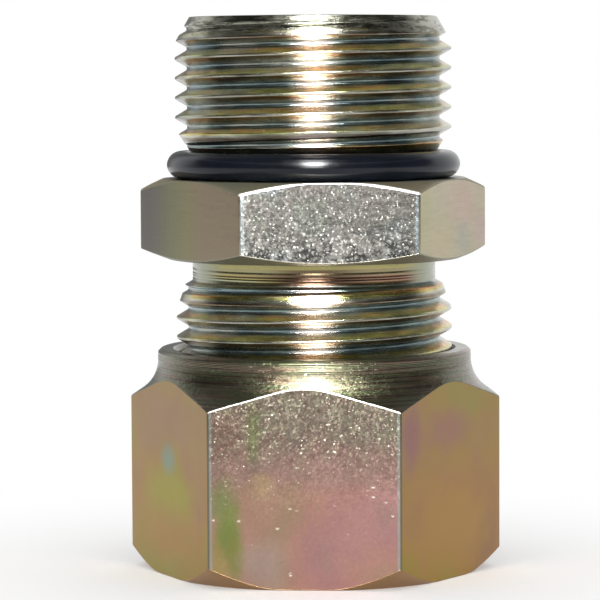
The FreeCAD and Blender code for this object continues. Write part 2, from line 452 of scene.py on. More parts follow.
def make_nut():
    angles = column_angles(NUT_FLAT_R, NUT_TURN_DEG)
    shell = Shell(angles)
    side = hexagon_r(NUT_FLAT_R, NUT_TURN_DEG, angles)
    inside_r = nut_thread_r(NUT_TOP_Z)
    lower_z = np.maximum(side - NUT_FACE_R, 0) * slope(NUT_CHAMFER_DEG)
    shoulder = shoulder_rows(side, 14)
    flat_top = shoulder[0][1]
    sink = 0.2
    corners = [
        (BORE_R, NUT_MOUTH_CHAMFER, 0),
        (BORE_R + NUT_MOUTH_CHAMFER, 0, 0.12),
        (np.minimum(side - 0.3, NUT_FACE_R), 0, 0.12),
        (side, lower_z, 0.22),
        (side, lower_z * 0.75 + flat_top * 0.25, 0),
        (side, lower_z * 0.5 + flat_top * 0.5, 0),
        (side, lower_z * 0.25 + flat_top * 0.75, 0),
        (side, flat_top, 0.3),
    ]
    corners += [(r, z, 0) for r, z in shoulder[1:]]
    top_edge_z = NUT_TOP_Z - COLLAR_CHAMFER
    collar_z = shoulder[-1][1][0]
    for share, depth in COLLAR_GROOVES:
        z = collar_z + (top_edge_z - collar_z) * share
        corners += [(COLLAR_R, z, 0), (COLLAR_R - depth, z + 0.03, 0), (COLLAR_R, z + 0.07, 0)]
    corners += [
        (COLLAR_R, top_edge_z, 0.3),
        (COLLAR_R - COLLAR_CHAMFER, NUT_TOP_Z, 0.3),
        (NUT_RELIEF_R, NUT_TOP_Z, 0.1),
        (NUT_RELIEF_R - sink, NUT_TOP_Z - sink, 0),
    ]
    shell.outline(corners)
    shell.thread(NUT_RELIEF_TOP_Z, NUT_TOP_Z - sink, TUBE_CREST_Z, both_ways(NUT_MARKS), inside_r)
    shell.outline([
        (inside_r(angles, np.full(len(angles), NUT_RELIEF_TOP_Z)), NUT_RELIEF_TOP_Z, 0),
        (NUT_RELIEF_R, NUT_RELIEF_TOP_Z, 0),
        (NUT_RELIEF_R, NUT_RELIEF_BOTTOM_Z, 0.2),
        (SEAT_R, NUT_RELIEF_BOTTOM_Z, 0.12),
        (SEAT_R, SEAT_TOP_Z, 0.4),
        (BORE_R, SEAT_BOTTOM_Z, 0.12),
        (BORE_R, NUT_MOUTH_CHAMFER, 0),
    ])

    def wobble(points):
        """The turned shoulder isn't quite even either."""
        height = points[:, 2]
        share = np.clip((height - 19) / 1.5, 0, 1) * (np.hypot(points[:, 0], points[:, 1]) > 16)
        return pushed(points, share * noise(points * [1, 1, 3], 6, 9) * 0.012)

    return shell.make("dressed_nut", wobble)


def make_cutting_ring():
    angles = np.linspace(0, 2 * math.pi, 144, endpoint=False)
    shell = Shell(angles)
    nose_base_z = RING_TOP_Z - RING_NOSE_LENGTH
    nose_base_r = RING_NOSE_R + RING_NOSE_LENGTH * slope(RING_NOSE_DEG)
    groove_top = RING_TOP_Z - RING_LIP_LENGTH
    groove_bottom = groove_top - RING_GROOVE_WIDTH
    groove_r = BORE_R + RING_GROOVE_DEPTH
    seam = (BORE_R, (RING_BOTTOM_Z + groove_bottom) / 2, 0)
    shell.outline([
        seam,
        (BORE_R, RING_BOTTOM_Z, 0.1),
        (RING_BACK_R, RING_BOTTOM_Z, 0.15),
        (RING_OUTER_R, RING_BOTTOM_Z + RING_BACK_LENGTH, 0.2),
        (RING_OUTER_R, nose_base_z - RING_STEP_LENGTH, 0.25),
        (nose_base_r, nose_base_z, 0.25),
        (RING_NOSE_R, RING_TOP_Z, 0.08),
        (BORE_R, RING_TOP_Z, 0.05),
        (BORE_R, groove_top, 0.06),
        (groove_r, groove_top - RING_GROOVE_DEPTH, 0.08),
        (groove_r, groove_bottom, 0.08),
        (BORE_R, groove_bottom, 0.06),
        seam,
    ])
    return shell.make("dressed_cutting_ring")


def make_o_ring():
    angles = np.linspace(0, 2 * math.pi, 216, endpoint=False)
    shell = Shell(angles)
    around = np.linspace(0, 2 * math.pi, 49)[:, None]
    flash = FLASH_HEIGHT * np.exp(-((np.cos(around) - 1) / 0.02) ** 2)
    section = O_RING_SECTION_R - FLASH_HEIGHT + flash
    radius = O_RING_R + section * np.cos(around) + 0 * angles
    height = O_RING_Z + section * np.sin(around) + 0 * angles
    first = shell.add_points(radius, height)
    shell.add_faces(first, len(around), 0)

    def wobble(points):
        return pushed(points, noise(points, 14, 3) * 0.015)

    return shell.make("dressed_o_ring", wobble)


body = make_body()
nut = make_nut()
cutting_ring = make_cutting_ring()
o_ring = make_o_ring()


class Paint:
    """Builds one material's nodes from short calls."""

    def __init__(self, name):
        self.material = bpy.data.materials.new(name)
        self.material.use_nodes = True
        self.tree = self.material.node_tree
        self.shader = self.tree.nodes["Principled BSDF"]
        coordinates = self.node("ShaderNodeTexCoord", {})
        self.at = self.vector("SCALE", coordinates.outputs["Object"], scale=1 / MM)
        self.normal = coordinates.outputs["Normal"]
        self.x, self.y, self.z = self.parts(self.at)
        squares = self.plus(self.times(self.x, self.x), self.times(self.y, self.y))
        self.r = self.math("SQRT", squares)
        self.angle = self.math("ARCTAN2", self.y, self.x)

    def put(self, socket, value):
        if isinstance(value, bpy.types.NodeSocket):
            self.tree.links.new(value, socket)
        else:
            socket.default_value = value

    def set(self, name, value):
        """Gives the shader a value or links it one."""
        self.put(self.shader.inputs[name], value)

    def show(self, node):
        """Makes a node the surface, in place of the shader."""
        self.put(self.tree.nodes["Material Output"].inputs["Surface"], node.outputs[0])

    def node(self, kind, values, **settings):
        """New node with its inputs given by name or number."""
        node = self.tree.nodes.new(kind)
        for name, setting in settings.items():
            setattr(node, name, setting)
        for key, value in values.items():
            self.put(node.inputs[key], value)
        return node

    def parts(self, vector):
        return self.node("ShaderNodeSeparateXYZ", {0: vector}).outputs[:3]

    def join(self, x, y, z):
        return self.node("ShaderNodeCombineXYZ", {0: x, 1: y, 2: z}).outputs[0]

    def math(self, operation, a, b=0.0):
        return self.node("ShaderNodeMath", {0: a, 1: b}, operation=operation).outputs[0]

    def times(self, a, *others):
        for other in others:
            a = self.math("MULTIPLY", a, other)
        return a

    def plus(self, a, b):
        return self.math("ADD", a, b)

    def minus(self, a, b):
        return self.math("SUBTRACT", a, b)

    def absolute(self, a):
        return self.math("ABSOLUTE", a)

    def vector(self, operation, a, b=(0, 0, 0), scale=1.0):
        values = {0: a, "Scale": scale} if operation == "SCALE" else {0: a, 1: b}
        node = self.node("ShaderNodeVectorMath", values, operation=operation)
        return node.outputs["Value" if operation in ("DOT_PRODUCT", "LENGTH") else 0]

    def stretched(self, x, y, z):
        """Object coordinates in millimetres, stretched along each axis."""
        return self.vector("MULTIPLY", self.at, (x, y, z))

    def noise(self, at, scale=1.0, detail=2.0, roughness=0.5, distortion=0.0):
        return self.node("ShaderNodeTexNoise", {
            "Vector": at, "Scale": scale, "Detail": detail, "Roughness": roughness,
            "Distortion": distortion,
        }).outputs["Fac"]

    def cells(self, at, scale, feature="F1"):
        return self.node("ShaderNodeTexVoronoi", {"Vector": at, "Scale": scale}, feature=feature)

    def step(self, value, low, high, to_low=0.0, to_high=1.0):
        """Smooth change from to_low to to_high as the value goes from low to high."""
        return self.node("ShaderNodeMapRange", {
            "Value": value, "From Min": low, "From Max": high, "To Min": to_low, "To Max": to_high,
        }, interpolation_type="SMOOTHSTEP").outputs[0]

    def fade(self, value, low, high):
        """Smooth change from 1 to 0 as the value goes from low to high."""
        return self.step(value, low, high, 1.0, 0.0)

    def zone(self, value, low, low_end, high, high_end):
        """Mask that rises from low to low_end and falls from high to high_end."""
        return self.times(self.step(value, low, low_end), self.fade(value, high, high_end))

    def mix(self, share, a, b, blend="MIX"):
        a, b = (c if isinstance(c, bpy.types.NodeSocket) else (*c, 1) for c in (a, b))
        return self.node("ShaderNodeMix", {0: share, 6: a, 7: b},
                         data_type="RGBA", blend_type=blend).outputs[2]

    def mix_value(self, share, a, b):
        return self.node("ShaderNodeMix", {0: share, 2: a, 3: b}).outputs[0]

    def ramp(self, value, stops):
        node = self.node("ShaderNodeValToRGB", {0: value})
        elements = node.color_ramp.elements
        elements[0].position, elements[0].color = stops[0][0], (*stops[0][1], 1)
        elements[1].position, elements[1].color = stops[-1][0], (*stops[-1][1], 1)
        for position, colour in stops[1:-1]:
            elements.new(position).color = (*colour, 1)
        return node.outputs[0]

    def bump(self, height, distance, strength, normal=None):
        """Normal bent by a height, laid over another normal if one is given."""
        values = {"Height": height, "Distance": distance * MM, "Strength": strength}
        if normal is not None:
            values["Normal"] = normal
        return self.node("ShaderNodeBump", values).outputs[0]


def facing(paint, azimuth_deg):
    """Mask of the surfaces that face an azimuth."""
    azimuth = math.radians(azimuth_deg)
    way = (math.cos(azimuth), math.sin(azimuth), 0)
    return paint.step(paint.vector("DOT_PRODUCT", paint.normal, way), 0.94, 0.985)


def upright(paint):
    """Mask of the surfaces that stand upright."""
    return paint.fade(paint.absolute(paint.parts(paint.normal)[2]), 0.12, 0.3)


def ragged_z(paint, scale, detail, amount):
    """Height, made uneven so that a colour's edge is ragged."""
    return paint.plus(paint.z, paint.times(paint.noise(paint.at, scale, detail), amount))


def turned_lines(paint):
    """Fine lines round the axis, as a turning tool leaves them."""
    return paint.noise(paint.stretched(0.05, 0.05, 6), 1, 4, 0.75)


def patch(paint, centre, radii, soft, ragged):
    """Soft-edged mask round a point on the surface."""
    away = paint.vector("SUBTRACT", paint.at, centre)
    away = paint.vector("MULTIPLY", away, tuple(1 / r for r in radii))
    length = paint.vector("LENGTH", away)
    uneven = paint.times(paint.minus(paint.noise(paint.at, 0.5, 3), 0.5), ragged)
    return paint.fade(paint.plus(length, uneven), 1 - soft, 1 + soft)


def with_patches(paint, colour, patches):
    """Colour with patches laid over it: centre, radii, softness, raggedness, colour."""
    for centre, radii, soft, ragged, tint in patches:
        colour = paint.mix(patch(paint, centre, radii, soft, ragged), colour, tint)
    return colour


def corner_distance(paint, turn_deg):
    """Millimetres round the axis to the hexagon's nearest corner."""
    sixth = math.pi / 3
    turned = paint.plus(paint.angle, 4 * math.pi + sixth / 2 - math.radians(turn_deg))
    inside = paint.minus(paint.math("MODULO", turned, sixth), sixth / 2)
    return paint.times(paint.absolute(inside), paint.r)


def thread_phase(paint):
    """0 and 1 at the thread's crest, a half in its root, rising with the height."""
    crest = paint.step(paint.z, 38, 38.1, TUBE_CREST_Z, PORT_CREST_Z)
    climb = paint.minus(paint.z, paint.times(paint.angle, PITCH / (2 * math.pi)))
    turns = paint.math("DIVIDE", paint.minus(climb, crest), PITCH)
    sway = paint.noise(paint.stretched(0.25, 0.25, 1.1), 1, 3)
    turns = paint.plus(turns, paint.times(paint.minus(sway, 0.5), 0.16))
    return paint.math("FRACT", turns)


def tilted_grain(paint, size, amount, seed):
    """Surface normal with each small grain tilted its own way."""
    cells = paint.cells(paint.vector("ADD", paint.at, (seed, 0, 0)), 1 / size)
    tilt = paint.vector("SUBTRACT", cells.outputs["Color"], (0.5, 0.5, 0.5))
    geometry = paint.node("ShaderNodeNewGeometry", {})
    tilt = paint.vector("SCALE", tilt, scale=amount)
    return paint.vector("NORMALIZE", paint.vector("ADD", geometry.outputs["Normal"], tilt)), cells


def top_edge_highlight(paint, turn_deg, flat_r, width):
    """Mask of the broken edge along the top of a hexagon's front flat, where a highlight is
    painted.
    """
    azimuth = math.radians(turn_deg - 90)
    out = paint.vector("DOT_PRODUCT", paint.at, (math.cos(azimuth), math.sin(azimuth), 0))
    rising = paint.step(paint.parts(paint.normal)[2], 0.06, 0.16)
    return paint.times(paint.step(out, flat_r - width, flat_r - width * 0.4), rising)


# Heights in millimetres over which the looks change, how far an edge between them is blurred,
# and the widths of grains and lumps
NECK_ZONE = (31.3, 31.6, 33.7, 33.75)
NECK_LINE_Z = 33.35
RELIEF_ZONE = (42.4, 42.5, 45.2, 46)
PORT_LEAD_ZONE = (58.2, 59.2)
NUT_CHAMFER_ZONE = (2.4, 2.6)
NUT_DULL_ZONE = (6, 19)
NUT_SHOULDER_ZONE = (18.3, 18.5)
BLUR = 0.02
GRAIN = 0.2
LUMP = 0.5

BODY_SIDE_PATCHES = (
    ((11.6, -13.9, 38.5), (0.9, 2, 4), 0.7, 0.9, (0.40, 0.38, 0.23)),
    ((16.2, -4.1, 39.6), (2.2, 5, 2.2), 0.8, 1.0, (0.45, 0.345, 0.275)),
    ((13.4, -10.0, 35.9), (1.8, 4, 2.0), 0.8, 1.0, (0.44, 0.38, 0.24)),
    ((16.0, -4.5, 35.9), (1.1, 2.5, 1.7), 0.8, 1.0, (0.36, 0.34, 0.27)),
    ((18.0, 0.0, 36.5), (1.2, 3, 2.0), 0.8, 1.0, (0.43, 0.335, 0.28)),
)
NUT_FACE_PATCHES = (
    ((-10.0, -17.4, 3.4), (1.2, 3, 2.8), 0.7, 1.0, (0.27, 0.205, 0.085)),
    ((-9.8, -17.4, 9.2), (1.4, 3, 2.4), 0.7, 1.0, (0.17, 0.18, 0.08)),
    ((-9.0, -17.4, 6.2), (1.3, 3, 2.6), 0.6, 1.1, (0.165, 0.19, 0.06)),
    ((-8.3, -17.4, 3.2), (0.9, 3, 2.4), 0.6, 1.1, (0.185, 0.185, 0.055)),
    ((-6.5, -17.4, 16.3), (0.7, 3, 2.6), 0.9, 1.4, (0.15, 0.155, 0.085)),
    ((-9.6, -17.4, 16.0), (2.2, 3, 2.6), 0.6, 0.5, (0.175, 0.125, 0.10)),
    ((-5.6, -17.4, 10.8), (1.2, 3, 1.2), 0.8, 1.0, (0.30, 0.21, 0.13)),
    ((-5.5, -17.4, 2.6), (2.2, 3, 2.2), 0.8, 1.0, (0.30, 0.22, 0.18)),
)
NUT_SIDE_PATCHES = (
    ((-15.7, -7.7, 12.6), (1.5, 1.5, 1.7), 0.6, 0.9, (0.22, 0.26, 0.19)),
    ((-15.3, -8.2, 9.0), (3.4, 6, 2.2), 0.7, 1.0, (0.31, 0.265, 0.045)),
    ((-15.5, -8.0, 4.4), (4, 8, 2.4), 0.8, 1.0, (0.35, 0.205, 0.06)),
    ((-16.0, -7.5, 17.0), (4, 8, 2.4), 0.8, 1.0, (0.31, 0.19, 0.105)),
    ((14.5, -9.7, 6.0), (6, 9, 5), 0.7, 1.0, (0.36, 0.21, 0.07)),
    ((9.7, -16.0, 15.8), (1.1, 2.4, 3.4), 0.6, 0.9, (0.28, 0.15, 0.13)),
    ((14.2, -10.4, 16.0), (2.8, 5, 1.8), 0.8, 1.0, (0.31, 0.17, 0.12)),
)


def thread_colour(paint):
    """Gold crests, brown flanks and grey-blue roots, with worn and patchy places, and a paler film
    painted as highlights in stripes a third of a turn apart.
    """
    phase = thread_phase(paint)
    colour = paint.ramp(phase, [
        (0.0, (0.50, 0.49, 0.40)), (0.05, (0.52, 0.49, 0.32)), (0.11, (0.58, 0.50, 0.15)),
        (0.26, (0.66, 0.34, 0.12)), (0.35, (0.30, 0.26, 0.16)), (0.46, (0.16, 0.22, 0.22)),
        (0.60, (0.30, 0.38, 0.35)), (0.72, (0.44, 0.45, 0.36)), (0.82, (0.24, 0.17, 0.11)),
        (0.93, (0.27, 0.24, 0.18)), (1.0, (0.50, 0.49, 0.40)),
    ])
    olive = paint.ramp(phase, [
        (0.0, (0.40, 0.42, 0.33)), (0.06, (0.40, 0.42, 0.24)), (0.14, (0.45, 0.45, 0.13)),
        (0.26, (0.42, 0.34, 0.12)), (0.36, (0.20, 0.20, 0.14)), (0.46, (0.12, 0.17, 0.19)),
        (0.60, (0.25, 0.33, 0.34)), (0.72, (0.40, 0.42, 0.35)), (0.82, (0.17, 0.13, 0.09)),
        (0.93, (0.20, 0.18, 0.14)), (1.0, (0.40, 0.42, 0.33)),
    ])
    tinged = paint.step(paint.noise(paint.stretched(0.1, 0.1, 0.3), 1, 3), 0.44, 0.56)
    colour = paint.mix(tinged, colour, olive)
    patchy = paint.ramp(paint.noise(paint.stretched(0.3, 0.3, 1.4), 1, 4, 0.6), [
        (0.34, (0.6, 0.6, 0.62)), (0.5, (0.95, 0.95, 0.95)), (0.66, (1.2, 1.2, 1.2)),
    ])
    colour = paint.mix(1.0, colour, patchy, "MULTIPLY")
    # Painted highlight: paler stripes up the thread, one facing the front and two more a third of a
    # turn round.
    highlight_thirds = paint.math("COSINE", paint.times(paint.plus(paint.angle, math.pi / 2), 3))
    colour = paint.mix(paint.step(highlight_thirds, 0.78, 1.0, 0.0, 0.5), colour, (0.60, 0.50, 0.45))
    drift = paint.noise(paint.stretched(0.12, 0.12, 0.5), 1, 2)
    return paint.mix(paint.step(drift, 0.5, 0.68, 0.0, 0.7), colour, (0.46, 0.46, 0.40))


def neck_colour(paint):
    """Brown in the middle, olive and gold to the sides, with a gold line round it. The middle is
    darkened with painted shade, and the far left and right are paler with a painted reflection.
    """
    bands = paint.times(paint.noise(paint.stretched(0.05, 0.05, 2.2), 1, 2), 0.6)
    across = paint.plus(bands, paint.step(paint.x, -6, 1, 0.1, 0.3))
    colour = paint.ramp(across, [
        (0.35, (0.36, 0.38, 0.25)), (0.47, (0.42, 0.36, 0.14)), (0.58, (0.33, 0.19, 0.13)),
    ])
    aside = paint.absolute(paint.x)
    # Painted shade: darker where the neck faces front or back.
    colour = paint.mix(paint.step(aside, 7.5, 2.0), colour, (0.10, 0.058, 0.036))
    pale = paint.step(paint.z, 32.3, 32.7, 0.0, 0.8)
    pale = paint.times(pale, paint.step(aside, 1, 7, 0.25, 1.0))
    colour = paint.mix(pale, colour, (0.31, 0.29, 0.155))
    from_line = paint.absolute(paint.minus(paint.z, NECK_LINE_Z))
    colour = paint.mix(paint.step(from_line, 0.12, 0.3, 0.7, 0.0), colour, (0.40, 0.36, 0.14))
    # Painted reflection: paler towards the left and right edges.
    return paint.mix(paint.step(aside, 9.0, 12.2), colour, (0.29, 0.31, 0.23))


def body_side_colour(paint, left):
    """Olive and pink film of the hexagon's sides, with the left one darker and greyer as painted
    shade, darkest towards its far edge.
    """
    colour = paint.ramp(paint.noise(paint.stretched(0.09, 0.09, 0.05), 1, 3, 0.5, 0.4), [
        (0.32, (0.40, 0.38, 0.24)), (0.46, (0.43, 0.38, 0.27)), (0.6, (0.45, 0.37, 0.31)),
        (0.72, (0.38, 0.39, 0.3)),
    ])
    # Painted shade on the left side, darkest towards its far edge.
    grey = paint.ramp(paint.step(paint.x, -18.5, -11), [
        (0.0, (0.20, 0.185, 0.175)), (0.4, (0.255, 0.262, 0.165)), (0.75, (0.31, 0.285, 0.17)),
        (1.0, (0.33, 0.265, 0.185)),
    ])
    return with_patches(paint, paint.mix(left, colour, grey), BODY_SIDE_PATCHES)


def body_grain_colour(paint, cells):
    """Pickled front of the hexagon: grey grain with dark seams, and bright lumps and dots painted
    as glints.
    """
    cloud = paint.ramp(paint.noise(paint.at, 0.22, 3), [
        (0.3, (0.145, 0.157, 0.164)), (0.45, (0.160, 0.156, 0.137)), (0.58, (0.172, 0.157, 0.145)),
        (0.7, (0.153, 0.160, 0.134)),
    ])
    shade = paint.ramp(paint.parts(cells.outputs["Color"])[0], [
        (0.0, (0.7, 0.7, 0.7)), (0.5, (0.92, 0.92, 0.92)), (0.88, (1.1, 1.1, 1.1)),
        (1.0, (2.1, 2.1, 2.0)),
    ])
    colour = paint.mix(1.0, cloud, shade, "MULTIPLY")
    sway = paint.noise(paint.at, 1.5, 2)
    bent = paint.join(paint.times(sway, 0.9), 0.0, paint.times(sway, -0.7))
    bent = paint.vector("ADD", paint.at, bent)
    seams = paint.cells(bent, 1 / LUMP, "DISTANCE_TO_EDGE").outputs["Distance"]
    low = paint.step(ragged_z(paint, 0.4, 2, 4), 36.5, 42, 1.0, 0.1)
    broken = paint.step(paint.noise(paint.at, 0.9, 3), 0.36, 0.54)
    web = paint.times(paint.step(seams, 0.05, 0.26, 0.9, 0.0), low, broken)
    colour = paint.mix(paint.times(low, 0.3), colour, (0.36, 0.36, 0.33))
    # Painted glints: bright cores in some lumps, mostly low down.
    lumps = paint.cells(bent, 1 / LUMP)
    glint_core = paint.step(lumps.outputs["Distance"], 0.12, 0.42, 0.8, 0.0)
    glint_core = paint.times(glint_core, paint.step(paint.parts(lumps.outputs["Color"])[1], 0.5, 0.75))
    colour = paint.mix(paint.times(glint_core, low), colour, (0.58, 0.58, 0.53))
    colour = paint.mix(web, colour, (0.03, 0.03, 0.03))
    # Painted glints: small bright dots on some grains.
    glint_dots = paint.fade(cells.outputs["Distance"], 0.15, 0.45)
    glint_dots = paint.times(glint_dots, paint.step(paint.parts(cells.outputs["Color"])[2], 0.86, 0.93))
    return paint.mix(glint_dots, colour, (0.62, 0.62, 0.58))


def make_body_zinc():
    paint = Paint("zinc_body_finish")
    hexed = paint.zone(paint.z, HEX_BOTTOM_Z - BLUR, HEX_BOTTOM_Z + BLUR,
                       HEX_TOP_Z - BLUR, HEX_TOP_Z + BLUR)
    standing = upright(paint)
    flat = paint.times(hexed, standing)
    back = paint.plus(facing(paint, BODY_TURN_DEG + 30), facing(paint, BODY_TURN_DEG + 90))
    front = paint.plus(facing(paint, BODY_TURN_DEG - 90), paint.times(back, 0.5))
    front = paint.times(front, flat)
    left = paint.times(facing(paint, BODY_TURN_DEG - 150), flat)

    neck_zone = paint.zone(paint.z, *NECK_ZONE)
    turned = paint.mix(neck_zone, thread_colour(paint), neck_colour(paint))
    lead = paint.step(ragged_z(paint, 0.5, 3, 1.5), *PORT_LEAD_ZONE)
    marks = paint.step(paint.noise(paint.stretched(0.5, 0.5, 2.2), 1, 4, 0.65), 0.47, 0.56)
    turned = paint.mix(lead, turned, paint.mix(marks, (0.38, 0.38, 0.31), (0.15, 0.15, 0.11)))
    turned = paint.mix(paint.zone(paint.z, *RELIEF_ZONE), turned, (0.34, 0.33, 0.26))

    chamfer = paint.ramp(paint.noise(paint.at, 0.12, 2), [
        (0.4, (0.25, 0.25, 0.18)), (0.6, (0.27, 0.24, 0.16)),
    ])
    chamfer = paint.mix(paint.fade(paint.z, 37, 38), chamfer, (0.30, 0.295, 0.245))
    hexagon = paint.mix(flat, chamfer, body_side_colour(paint, left))
    normal, cells = tilted_grain(paint, GRAIN, paint.times(front, 0.13), 3.0)
    hexagon = paint.mix(front, hexagon, body_grain_colour(paint, cells))
    distance = corner_distance(paint, BODY_TURN_DEG)
    # Painted highlight: a pale band down each side of the front flat, along the corners.
    corner_highlight = paint.times(paint.step(distance, 0.36, 0.5, 0.8, 0.0), front)
    hexagon = paint.mix(corner_highlight, hexagon, (0.28, 0.31, 0.32))

    colour = paint.mix(hexed, turned, hexagon)
    # Painted highlight along the top edge of the front flat.
    edge_highlight = top_edge_highlight(paint, BODY_TURN_DEG, BODY_FLAT_R, 0.3)
    paint.set("Base Color", paint.mix(edge_highlight, colour, (0.95, 0.93, 0.88)))
    paint.set("Metallic", 1)
    paint.set("Coat Weight", paint.step(hexed, 0.0, 1.0, 0.2, 0.0))
    paint.set("Coat Roughness", 0.15)
    rough = paint.step(paint.noise(paint.stretched(0.3, 0.3, 2.5), 1, 4, 0.6), 0.3, 0.7, 0.15, 0.28)
    rough = paint.plus(rough, paint.times(flat, 0.1))
    rough = paint.mix_value(paint.times(hexed, paint.minus(1.0, standing)), rough, 0.5)
    rough = paint.math("MAXIMUM", rough, paint.times(edge_highlight, 0.5))
    paint.set("Roughness", rough)
    lines = paint.times(turned_lines(paint), paint.step(flat, 0.0, 1.0, 1.0, 0.015))
    lines = paint.times(lines, paint.step(neck_zone, 0.0, 1.0, 1.0, 0.5))
    normal = paint.bump(lines, 0.05, 0.6, normal)
    smooth = paint.times(flat, paint.minus(1.0, front))
    speckle = paint.noise(paint.at, 2.6, 5, 0.7)
    speckle = paint.times(speckle, paint.step(smooth, 0.0, 1.0, 1.0, 0.25))
    paint.set("Normal", paint.bump(speckle, 0.012, 0.7, normal))
    return paint.material


def nut_side_colour(paint):
    """Gold and brown film of the nut's sides, browner towards the top."""
    film = paint.noise(paint.stretched(0.085, 0.085, 0.06), 1, 3, 0.5, 0.6)
    colour = paint.ramp(film, [
        (0.28, (0.27, 0.26, 0.07)), (0.4, (0.31, 0.23, 0.05)), (0.5, (0.34, 0.21, 0.065)),
        (0.6, (0.33, 0.19, 0.085)), (0.7, (0.29, 0.16, 0.09)), (0.8, (0.24, 0.22, 0.10)),
    ])
    up = paint.times(paint.step(paint.z, 9, 16), 0.45)
    return with_patches(paint, paint.mix(up, colour, (0.30, 0.21, 0.105)), NUT_SIDE_PATCHES)


def nut_face_colour(paint):
    """Pink and mauve film of the nut's front, duller at the top, green at the lower left."""
    colour = paint.ramp(paint.noise(paint.stretched(0.11, 0.11, 0.08), 1, 3, 0.5, 0.5), [
        (0.3, (0.28, 0.185, 0.125)), (0.45, (0.33, 0.18, 0.145)), (0.6, (0.32, 0.17, 0.16)),
        (0.72, (0.28, 0.185, 0.16)),
    ])
    upper = paint.step(ragged_z(paint, 0.25, 3, 8), 13, 22)
    colour = paint.mix(upper, colour, (0.168, 0.143, 0.116))
    middle = ragged_z(paint, 0.3, 3, 3)
    middle = paint.times(paint.step(middle, 11.0, 13.5), paint.step(middle, 14.5, 17.5, 0.65, 0.0))
    colour = paint.mix(middle, colour, (0.235, 0.158, 0.137))
    return with_patches(paint, colour, NUT_FACE_PATCHES)


def nut_shoulder_colour(paint):
    """Dark olive turned surface with fine brown lines."""
    colour = paint.ramp(paint.noise(paint.stretched(0.12, 0.12, 1.6), 1, 3), [
        (0.35, (0.11, 0.125, 0.065)), (0.5, (0.135, 0.135, 0.08)), (0.65, (0.18, 0.13, 0.09)),
    ])
    fine = paint.noise(paint.stretched(0.06, 0.06, 5), 1, 3, 0.7)
    return paint.mix(paint.step(fine, 0.5, 0.6, 0.0, 0.85), colour, (0.075, 0.052, 0.038))


def nut_glint_flecks(paint, cells):
    """Mask of bright flecks painted as glints, small round ones and fewer irregular coarse ones."""
    bar = paint.step(paint.z, *NUT_DULL_ZONE, 0.99, 0.93)
    small = paint.step(paint.minus(paint.parts(cells.outputs["Color"])[1], bar), 0.0, 0.05)
    spread = paint.plus(cells.outputs["Distance"], paint.times(paint.noise(paint.at, 7, 2), 0.6))
    small = paint.times(small, paint.fade(spread, 0.5, 0.85))
    coarse = paint.cells(paint.stretched(0.75, 0.75, 1.2), 1 / LUMP)
    pick = paint.parts(coarse.outputs["Color"])
    bar = paint.plus(paint.step(paint.z, 3, 7, 0.03, 0.0), paint.step(paint.z, 9, 19, 0.94, 0.93))
    large = paint.step(paint.minus(pick[0], bar), 0.0, 0.01)
    uneven = paint.times(paint.noise(paint.at, 6, 4, 0.7), 1.3)
    spread = paint.plus(coarse.outputs["Distance"], uneven)
    large = paint.times(large, paint.fade(spread, 0.72, 0.98))
    large = paint.times(large, paint.step(pick[2], 0.0, 1.0, 0.3, 1.0))
    return paint.math("MAXIMUM", small, large)


